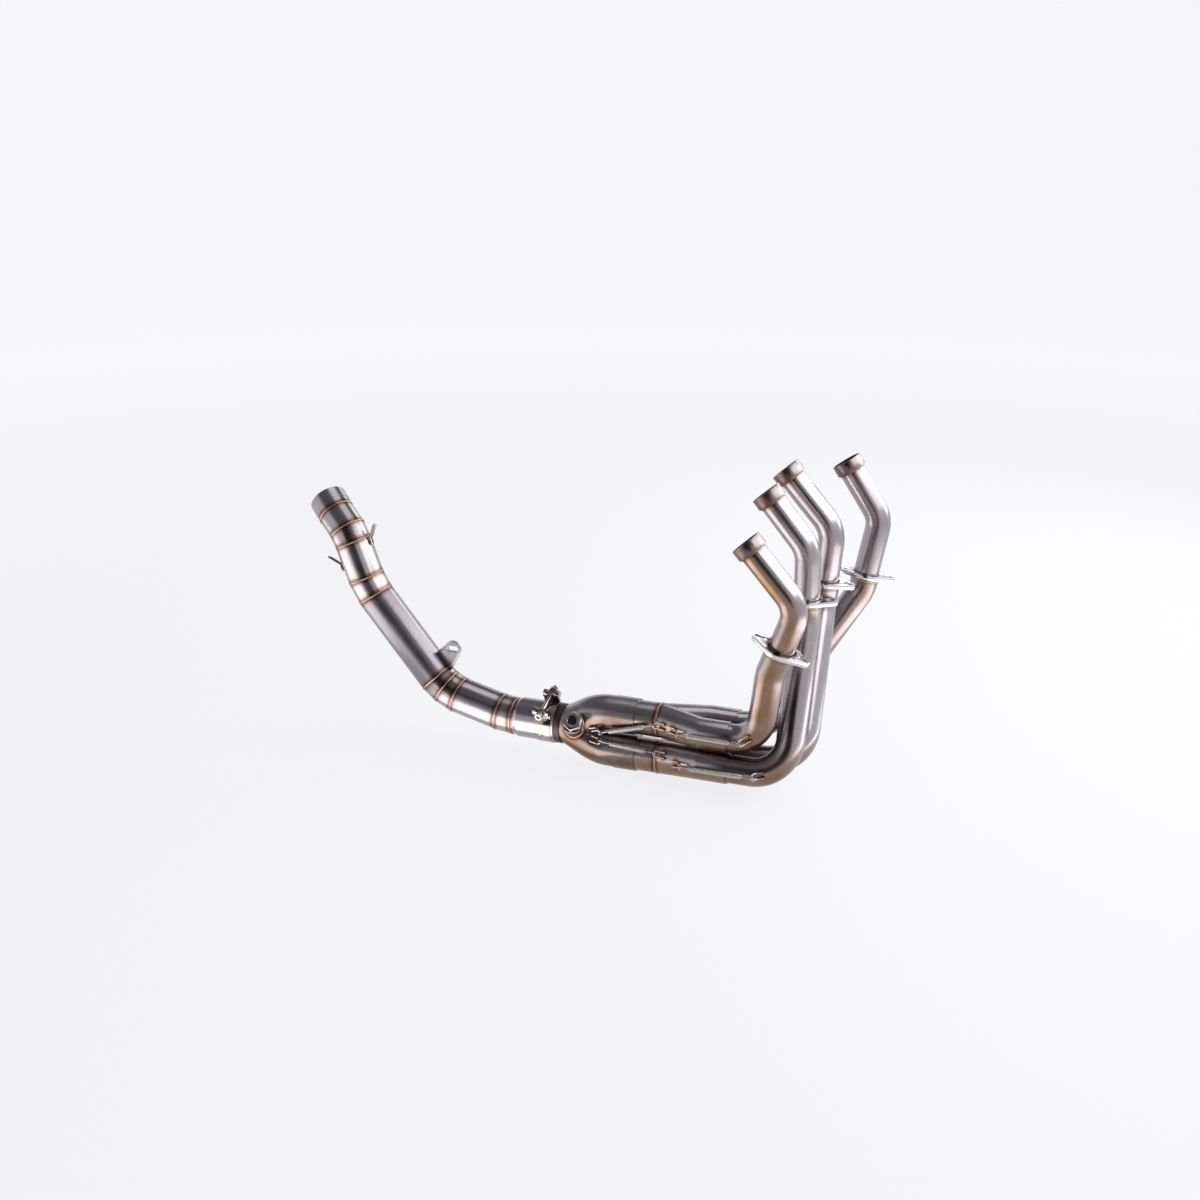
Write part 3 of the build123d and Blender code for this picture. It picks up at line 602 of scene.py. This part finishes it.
def weld_bead(name, loop, width, height, shift=0.0, shrink=0.0, material=weld_copper):
    """A rippled bead on a round or oval seam; shift moves it along the tube, shrink in from the loop."""
    centre, normal, short, long, way = ring_of(loop)
    centre = centre + normal * shift
    short, long = short - shrink, long - shrink
    side = normal.cross(way).normalized()
    bm = bmesh.new()
    section = Matrix((normal * width / 2, side * height, normal.cross(side))).transposed().to_4x4()
    section.translation = centre + side * short
    bmesh.ops.create_circle(bm, segments=BEAD_SIDES, radius=1.0, matrix=section)
    bmesh.ops.spin(
        bm, geom=bm.verts[:] + bm.edges[:], cent=centre, axis=normal,
        angle=math.tau, steps=BEAD_STEPS, use_merge=True
    )
    pools = round(math.tau * short / POOL_LENGTH)
    third = normal.cross(side)
    for vert in bm.verts:
        arm = vert.co - centre
        turn = math.atan2(arm.dot(third), arm.dot(side))
        out = (arm - normal * arm.dot(normal)).normalized()
        vert.co += out * (POOL_RIPPLE * height * math.cos(pools * turn))
    stretch = Matrix.Translation(centre) @ Matrix.Scale(long / short, 4, way) @ Matrix.Translation(-centre)
    bmesh.ops.transform(bm, matrix=stretch, verts=bm.verts)
    bmesh.ops.recalc_face_normals(bm, faces=bm.faces)
    smooth_all(bm)
    return dress(finished(name, bm), material)


def tube_side(loop, name):
    """+1 or -1: the side of a loop's plane on which a node lies."""
    centre, normal = ring_of(loop)[:2]
    return 1 if (middle_of(name) - centre).dot(normal) > 0 else -1


for n, loop in enumerate(link_seams, 1):
    weld_bead(f"link_weld_{n}", loop, *LINK_BEAD)
for place, loop in zip(("upper", "lower"), outlet_seams):
    weld_bead(f"{place}_outlet_weld", loop, *OUTLET_BEAD)
for n, loop in enumerate(step_seams, 1):
    weld_bead(f"step_weld_{n}", loop, *STEP_BEAD, shift=STEP_SHIFT * tube_side(loop, f"head_leg_{n}"))
for n, loop in enumerate(ring_seams, 1):
    along = RING_SHIFT * tube_side(loop, f"head_stub_{n}")
    weld_bead(f"ring_weld_{n}", loop, *RING_BEAD, shift=along, shrink=RING_SHRINK, material=ring_brown)
print("beads laid")

# %% [markdown]
# The bead round the boss lies on no plane, so it can't be spun. A curve through the seam's own points, with a
# round bevel, follows it, and the curve's radius at each point makes the pools.

# %% Boss bead
BOSS_BEAD = 1.6 * MM
BOSS_POOLS = (0.85, 1.1)  # the bead's radius swings between these shares
BEAD_DOUBLES = 0.01 * MM


def swept_bead(name, loop, radius):
    """A round bead along any closed chain of points."""
    curve = bpy.data.curves.new(name, "CURVE")
    curve.dimensions = "3D"
    curve.bevel_depth = radius
    curve.bevel_resolution = 2
    spline = curve.splines.new("NURBS")
    spline.points.add(len(loop) - 1)
    for k, (point, at) in enumerate(zip(spline.points, loop)):
        point.co = (*at, 1)
        point.radius = BOSS_POOLS[k % 2]
    spline.order_u = 3
    spline.use_cyclic_u = True
    holder = bpy.data.objects.new(name, curve)
    mesh = bpy.data.meshes.new_from_object(holder)
    bpy.data.objects.remove(holder)
    bm = bmesh.new()
    bm.from_mesh(mesh)
    bmesh.ops.remove_doubles(bm, verts=bm.verts, dist=BEAD_DOUBLES)
    bmesh.ops.recalc_face_normals(bm, faces=bm.faces)
    smooth_all(bm)
    return dress(finished(name, bm), weld_copper)


swept_bead("boss_weld", boss_seam, BOSS_BEAD)
print("boss bead", len(boss_seam), "points")

# %% [markdown]
# The hooks are bent wire. In the frame they have six flats and sharp corners. Their centre lines are read
# back from those solids: from one end cap, each ring of six corners leads to the next. The wire is then bent
# as on a bench: straight runs are extruded and corners are spun.

# %% Read the hooks
FLATS = 6
CAP_RADIUS = 1.7 * MM
SAME_PLANE = math.radians(1)


def wire_routes(name):
    """The corner points of each bent wire in a node."""
    bm = solid_copy(name)
    bmesh.ops.dissolve_limit(bm, angle_limit=SAME_PLANE, verts=bm.verts, edges=bm.edges)
    routes, seen = [], set()
    for cap in bm.faces:
        middle = cap.calc_center_median()
        small = max((v.co - middle).length for v in cap.verts) < CAP_RADIUS
        if len(cap.verts) != FLATS or not small or cap.verts[0] in seen:
            continue
        ring = list(cap.verts)
        route = []
        while len(ring) == FLATS:
            seen.update(ring)
            route.append(sum((v.co for v in ring), Vector()) / FLATS)
            ring = [e.other_vert(v) for v in ring for e in v.link_edges if e.other_vert(v) not in seen]
        routes.append(route)
    bm.free()
    return routes


HOOK_NODES = ["merge_hooks", "upper_collector_hooks", "lower_collector_hooks", "leg_hooks", "silencer_hooks"]
hook_routes = {name: wire_routes(name) for name in HOOK_NODES}
print({name: [len(route) for route in routes] for name, routes in hook_routes.items()})

# %% Bend the hooks
HOOK_WIRE = 1.5 * MM
HOOK_BEND = 2.6 * MM
HOOK_BEND_STEPS = 6
WIRE_SIDES = 12
WIRE_DOUBLES = 0.005 * MM


def wire_start(bm, at, way, radius):
    """A round section across a direction; gives its edges."""
    made = bmesh.ops.create_circle(
        bm, cap_ends=True, segments=WIRE_SIDES, radius=radius, matrix=Matrix.Translation(at) @ along_to(way)
    )
    return list(dict.fromkeys(edge for vert in made["verts"] for edge in vert.link_edges))


def run(bm, edges, step):
    """Draws a section straight on; gives the new edges."""
    new = bmesh.ops.extrude_edge_only(bm, edges=edges)["geom"]
    ends = [v for v in new if isinstance(v, bmesh.types.BMVert)]
    bmesh.ops.translate(bm, verts=ends, vec=step)
    return [e for e in new if isinstance(e, bmesh.types.BMEdge) and set(e.verts) <= set(ends)]


def bent_wire(bm, points, radius, bend):
    """A round wire along corner points, with round bends."""
    here = points[0]
    way = (points[1] - points[0]).normalized()
    edges = wire_start(bm, here, way, radius)
    for corner, after in zip(points[1:-1], points[2:]):
        ahead = (after - corner).normalized()
        angle = way.angle(ahead)
        reach = bend * math.tan(angle / 2)
        stop = corner - way * reach
        edges = run(bm, edges, stop - here)
        inside = (ahead - way * ahead.dot(way)).normalized()
        turned = bmesh.ops.spin(
            bm, geom=edges, cent=stop + inside * bend, axis=way.cross(ahead).normalized(),
            angle=angle, steps=HOOK_BEND_STEPS
        )
        edges = [e for e in turned["geom_last"] if isinstance(e, bmesh.types.BMEdge)]
        here = corner + ahead * reach
        way = ahead
    edges = run(bm, edges, points[-1] - here)
    bmesh.ops.edgeloop_fill(bm, edges=edges)


def closed(bm):
    """Merges doubles and turns every face outwards, shaded smooth."""
    bmesh.ops.remove_doubles(bm, verts=bm.verts, dist=WIRE_DOUBLES)
    bmesh.ops.recalc_face_normals(bm, faces=bm.faces)
    mark_sharp(bm)


for name, routes in hook_routes.items():
    bm = bmesh.new()
    for route in routes:
        bent_wire(bm, route, HOOK_WIRE, HOOK_BEND)
    closed(bm)
    piece = dress(finished(f"{name}_wire", bm), hook_steel)
    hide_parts(name)
print("hooks bent")

# %% [markdown]
# Each hook is tacked to its tube with a run of weld along its feet. A sphere drawn out along the foot and
# pressed flat is near enough to such a tack.

# %% Tack welds at the hooks' feet
TACK = (3.6 * MM, 1.9 * MM, 1.5 * MM)
TACK_PLACE = 0.6  # of the way along a foot

tacks = []
bm = bmesh.new()
for routes in hook_routes.values():
    for route in routes:
        feet = [(route[1], route[0]), (route[-2], route[-1])]
        across = (route[-1] - route[0]).normalized()
        for foot, end in feet:
            along = (end - foot).normalized()
            up = along.cross(across).normalized()
            at = foot.lerp(end, TACK_PLACE)
            turn = Matrix((along, across, up)).transposed().to_4x4()
            shape = Matrix.Translation(at) @ turn @ Matrix.Diagonal((*TACK, 1))
            bmesh.ops.create_uvsphere(bm, u_segments=14, v_segments=9, radius=1.0, matrix=shape)
            tacks.append(at)
closed(bm)
dress(finished("hook_tacks", bm), weld_copper)
print(len(tacks), "tacks")

# %% [markdown]
# The springs are wound close. A helix is a spin with a step along the axis, so one round section makes all
# the turns. The last turns run in to a straight wire, and an eye closes round the hook's bar. Which two bars
# belong to a spring shows from the frame: they lie inside its eyes.

# %% Springs
COIL_RADIUS = 2.95 * MM
COIL_WIRE = 0.8 * MM
COIL_PITCH = 2.06 * COIL_WIRE
COIL_STEPS = 18
COIL_TAPER = 4.0 * MM
COIL_END = 0.6 * COIL_WIRE
EYE_RADIUS = 2.7 * MM
EYE_STEM = 9.0 * MM
EYE_STEPS = 28

hook_bars = []
for routes in hook_routes.values():
    for route in routes:
        hook_bars.append(((route[2] + route[3]) / 2, (route[3] - route[2]).normalized()))


def bars_of(name):
    """The two hook bars that a spring's eyes go round."""
    points = [v.co for v in nodes[name].data.vertices]
    gaps = sorted((min((p - at).length for p in points), k) for k, (at, _) in enumerate(hook_bars))
    return [hook_bars[k] for _, k in gaps[:2]]


def wound_spring(name):
    """A close-wound spring with tapered ends and two eyes, in place of its node."""
    (start, start_across), (end, end_across) = bars_of(name)
    way = (end - start).normalized()
    first = start + way * (EYE_RADIUS + EYE_STEM)
    length = (end - start).length - 2 * (EYE_RADIUS + EYE_STEM)
    turns = length / COIL_PITCH
    steps = round(turns * COIL_STEPS)
    side = way.orthogonal().normalized()
    bm = bmesh.new()
    edges = wire_start(bm, first + side * COIL_RADIUS, way.cross(side), COIL_WIRE)
    last = bmesh.ops.spin(
        bm, geom=edges, cent=first, axis=way, dvec=way * (length / steps), angle=math.tau * turns, steps=steps
    )
    bmesh.ops.edgeloop_fill(bm, edges=[e for e in last["geom_last"] if isinstance(e, bmesh.types.BMEdge)])
    for vert in bm.verts:
        along = (vert.co - first).dot(way)
        arm = vert.co - first - way * along
        inward = max(0.0, 1 - min(along, length - along) / COIL_TAPER)
        vert.co -= arm.normalized() * (COIL_RADIUS - COIL_END) * inward ** 2
    for at, ahead, across in ((start, way, start_across), (end, -way, end_across)):
        flat = (ahead - across * ahead.dot(across)).normalized()
        eye = wire_start(bm, at + flat * EYE_RADIUS, across.cross(flat), COIL_WIRE)
        caps = list(dict.fromkeys(f for e in eye for f in e.link_faces))
        bmesh.ops.delete(bm, geom=caps, context="FACES_ONLY")
        bmesh.ops.spin(bm, geom=eye, cent=at, axis=across, angle=math.tau, steps=EYE_STEPS, use_merge=True)
        stem = at + ahead * (EYE_RADIUS + EYE_STEM + COIL_TAPER)
        bent_wire(bm, [at + flat * EYE_RADIUS, stem], COIL_WIRE, 0)
    closed(bm)
    piece = dress(finished(f"{name}_wound", bm), spring_bright)
    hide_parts(name)
    return round(turns)


SPRINGS = [name for name in nodes if name.startswith("spring_")]
print({name: wound_spring(name) for name in SPRINGS})

# %% [markdown]
# The tubes. A copy of each solid is cut by a few planes beside every seam, so that it has points to carry
# the heat, and each point then gets a number that falls off with its distance from the next weld. The bore
# is told from the outside by the way that its faces look.

# %% Heat on the tubes and painted shade in their bores
HEAT_CUTS = [c * MM for c in (1.4, 2.6, 4.0, 5.6, 7.5, 10.0, 14.0)]
HEAT_REACH = 4.8 * MM
SEAM_MARGIN = 5 * MM
SEAM_SPLIT = 4
CUT_DOUBLES = 0.0005 * MM
TACK_REACH = 12 * MM
FINE_EDGE = 4.0 * MM
LONG_EDGE = 45 * MM
SPLIT_ROUNDS = 3
BORE_LOOK = 0.5 * MM

welded = link_seams + outlet_seams + step_seams + ring_seams
seam_sides = [side for loop in welded + [boss_seam] for side in zip(loop, loop[1:] + loop[:1])]
seam_points = [a.lerp(b, k / SEAM_SPLIT) for a, b in seam_sides for k in range(SEAM_SPLIT)]
weld_map = KDTree(len(seam_points) + len(tacks))
for k, point in enumerate(seam_points + tacks):
    weld_map.insert(point, k)
weld_map.balance()


def cut_beside_seams(bm, name):
    """Adds edge loops on both sides of each seam that a node has."""
    low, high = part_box(name)
    for loop in welded:
        centre, normal = ring_of(loop)[:2]
        if not all(low[k] - SEAM_MARGIN < centre[k] < high[k] + SEAM_MARGIN for k in range(3)):
            continue
        for cut in HEAT_CUTS:
            for sign in (-1, 1):
                bmesh.ops.bisect_plane(
                    bm, geom=bm.verts[:] + bm.edges[:] + bm.faces[:], dist=CUT_DOUBLES,
                    plane_co=centre + normal * (cut * sign), plane_no=normal
                )


def refine_near_tacks(bm):
    """Splits the edges near boss and hooks until they are short enough to carry the heat's fall."""
    for _ in range(SPLIT_ROUNDS):
        edges = [
            e for e in bm.edges
            if FINE_EDGE < e.calc_length() < LONG_EDGE
            and weld_map.find((e.verts[0].co + e.verts[1].co) / 2)[2] < TACK_REACH
        ]
        bmesh.ops.subdivide_edges(bm, edges=edges, cuts=1)
        bmesh.ops.triangulate(bm, faces=[f for f in bm.faces if len(f.verts) > 4])


def bore_faces(bm):
    """Faces of the inside: patches between sharp edges whose faces look towards the patch's own middle."""
    bore, seen = [], set()
    for first in bm.faces:
        if first in seen:
            continue
        patch, stack = [], [first]
        seen.add(first)
        while stack:
            face = stack.pop()
            patch.append(face)
            for other in (f for e in face.edges if e.smooth for f in e.link_faces if f not in seen):
                seen.add(other)
                stack.append(other)
        area = sum(f.calc_area() for f in patch)
        middle = sum((f.calc_center_median() * f.calc_area() for f in patch), Vector()) / area
        look = sum(f.normal.dot(f.calc_center_median() - middle) * f.calc_area() for f in patch)
        if look < -area * BORE_LOOK:
            bore += patch
    return bore


def tube_finish(name, material):
    """The satin, heated tube with painted shade in its bore, in place of its node."""
    bm = solid_copy(name)
    cut_beside_seams(bm, name)
    refine_near_tacks(bm)
    mark_sharp(bm)
    layer = bm.verts.layers.float.new("weld_heat")
    for vert in bm.verts:
        gap = weld_map.find(vert.co)[2]
        vert[layer] = math.exp(-((gap / HEAT_REACH) ** 2))
    # The bore's faces get the painted shade
    bore = bore_faces(bm)
    for face in bore:
        face.material_index = 1
    piece = dress(finished(f"{name}_finish", bm), material)
    piece.data.materials.append(recess_shade)
    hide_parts(name)
    return len(piece.data.polygons), len(bore)


HEAD_TUBES = [f"head_{kind}_{n}" for kind in ("stub", "leg") for n in range(1, 5)]
# These tubes get a larger share of painted warm reflection
MORE_REFLECTED_BRONZE = {
    "head_stub_1": leg_satin, "head_leg_1": leg_satin, "head_leg_2": leg_satin,
    "head_leg_3": tube_satin, "head_leg_4": tube_satin,
}
LOW_TUBES = [f"{place}_{kind}" for place in ("upper", "lower") for kind in ("collector", "second_tube")]
for name in HEAD_TUBES:
    print(name, tube_finish(name, MORE_REFLECTED_BRONZE.get(name, stub_satin)))
for name in LOW_TUBES:
    print(name, tube_finish(name, tube_satin))
print("final_merge", tube_finish("final_merge", merge_satin))
print("sensor_boss", tube_finish("sensor_boss", boss_brown))
for name in LINK_ORDER:
    print(name, tube_finish(name, run_satin if name == "link_main_run" else link_satin))

# %% [markdown]
# Plates, rings, plug and clamp are cut and turned parts. Real ones have broken edges that catch the light.
# A bevel on the sharp edges of a copy gives that; flat stretches are first dissolved to whole faces, so that
# the bevel meets no stray edges.

# %% Softened edges
FLAT_STRETCH = math.radians(1.5)
EDGE_SEGMENTS = 2


def softened(name, width, material, shaded_bore=False):
    """A copy of a node with its sharp edges broken and, where wanted, painted shade in its bore."""
    bm = solid_copy(name)
    bmesh.ops.dissolve_limit(bm, angle_limit=FLAT_STRETCH, verts=bm.verts, edges=bm.edges)
    mark_sharp(bm)
    edges = [e for e in bm.edges if not e.smooth]
    bmesh.ops.bevel(
        bm, geom=edges, offset=width, offset_type="OFFSET", affect="EDGES",
        segments=EDGE_SEGMENTS, profile=0.5, material=-1, clamp_overlap=True
    )
    bmesh.ops.triangulate(bm, faces=[f for f in bm.faces if len(f.verts) > 4])
    mark_sharp(bm)
    for face in bore_faces(bm) if shaded_bore else []:
        face.material_index = 1
    piece = dress(finished(f"{name}_finish", bm), material, nodes[name]["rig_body"])
    if shaded_bore:
        piece.data.materials.append(recess_shade)
    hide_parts(name)
    return piece


for n in range(1, 5):
    softened(f"port_flange_{n}", 0.7 * MM, flange_bright)
    softened(f"port_ring_{n}", 0.4 * MM, ring_brown, shaded_bore=True)
for name in ("clamp_band", "clamp_barrel_near", "clamp_barrel_far", "clamp_bolt", "clamp_nut"):
    softened(name, 0.25 * MM, clamp_bright)
plug = softened("sensor_plug", 0.5 * MM, plug_bright)
softened("plug_washer", 0.25 * MM, plug_bright)
# The gasket's near-black is partly painted shade of the joint's gap
softened("joint_gasket", 0.3 * MM, gasket_gap_shade)
softened("hanger_tab", 0.5 * MM, run_satin)
print("edges softened")

# %% [markdown]
# The socket of the plug is darkened with painted shade. Its faces are those nearer to the plug's axis than
# the socket's wall, and the washer under the plug gives that axis.

# %% Painted shade in the plug's socket
SOCKET_RADIUS = 6.1 * MM

# The plug's socket gets the same painted shade as the bores
plug.data.materials.append(recess_shade)
centre, axis = ring_of(outer_rings("plug_washer")[0])[:2]
shaded_faces = 0
for face in plug.data.polygons:
    arm = face.center - centre
    if (arm - axis * arm.dot(axis)).length < SOCKET_RADIUS:
        face.material_index = 1
        shaded_faces += 1
print(shaded_faces, "dark faces in the socket")

# %% [markdown]
# The loops of the clamp's band are spot welded to it: four small dimples show under the lower barrel. They
# could be a bump in the material. As flat drops of metal, set where a line from outside meets the band, they
# stay in the mesh.

# %% Spot welds on the band
SPOT_RADIUS = 1.3 * MM
SPOT_RISE = 0.25 * MM
SPOT_START = 60 * MM
SPOTS = [(-4.5, -24), (0.5, -18), (4.5, -26), (0.0, -32)]  # millimetres along the band, degrees above level

band_middle = middle_of("joint_gasket")
low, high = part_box("clamp_band")
band_x = (low[0] + high[0]) / 2
bm = bmesh.new()
bm.from_mesh(nodes["clamp_band"].data)
band = BVHTree.FromBMesh(bm)
bm.free()
bm = bmesh.new()
for along, turn in SPOTS:
    out = Vector((0, -math.cos(math.radians(turn)), math.sin(math.radians(turn))))
    start = Vector((band_x + along * MM, band_middle.y, band_middle.z)) + out * SPOT_START
    at, normal = band.ray_cast(start, -out)[:2]
    drop = Matrix.Translation(at) @ along_to(normal) @ Matrix.Diagonal((1, 1, SPOT_RISE / SPOT_RADIUS, 1))
    bmesh.ops.create_uvsphere(bm, u_segments=16, v_segments=8, radius=SPOT_RADIUS, matrix=drop)
smooth_all(bm)
dress(finished("band_spots", bm), hook_steel)
print(len(SPOTS), "spot welds")
